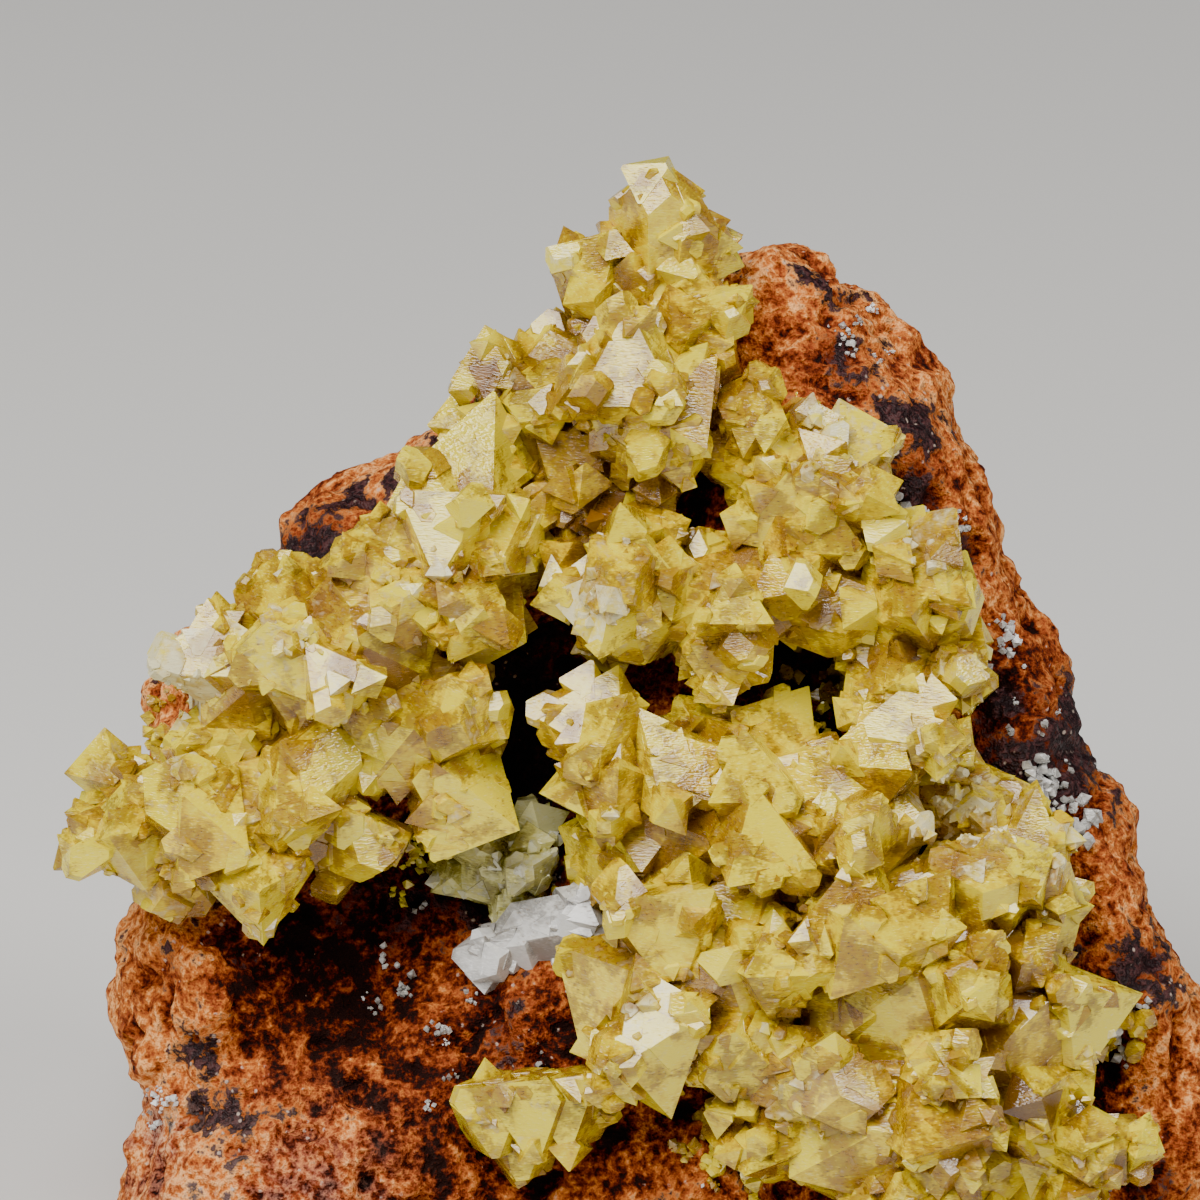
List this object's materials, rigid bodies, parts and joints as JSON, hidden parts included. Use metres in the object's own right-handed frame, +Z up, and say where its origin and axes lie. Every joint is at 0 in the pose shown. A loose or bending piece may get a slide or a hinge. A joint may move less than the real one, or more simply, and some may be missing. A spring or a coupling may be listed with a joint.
{
  "type": "adamite crystal cluster",
  "caption": "Mineral specimen: sprays of wedge-tipped yellow adamite crystals on a mountain-shaped slab of red iron-oxide gossan, standing on a flat-cut base.",
  "frame": {"origin": "centre of the specimen's outline at the plane of its flat-cut base", "axes": "+Z up; the crystal face looks towards -Y and leans back; +X to the right as seen from the crystal face"},
  "size_m": [0.0593, 0.0406, 0.0569],
  "materials": {
    "gossan": "rough, earthy",
    "adamite_yellow": "vitreous, translucent",
    "adamite_pale_green": "frosted, translucent",
    "calcite_colourless": "vitreous, translucent"
  },
  "bodies": {
    "root": {"matrix": "gossan", "upper_spray": "adamite_yellow", "left_spray": "adamite_yellow", "lower_spray": "adamite_yellow", "side_spray": "adamite_yellow", "lone_crystal": "adamite_yellow", "pale_spray": "adamite_pale_green", "colourless_crystals": "calcite_colourless"}
  },
  "joints": []
}
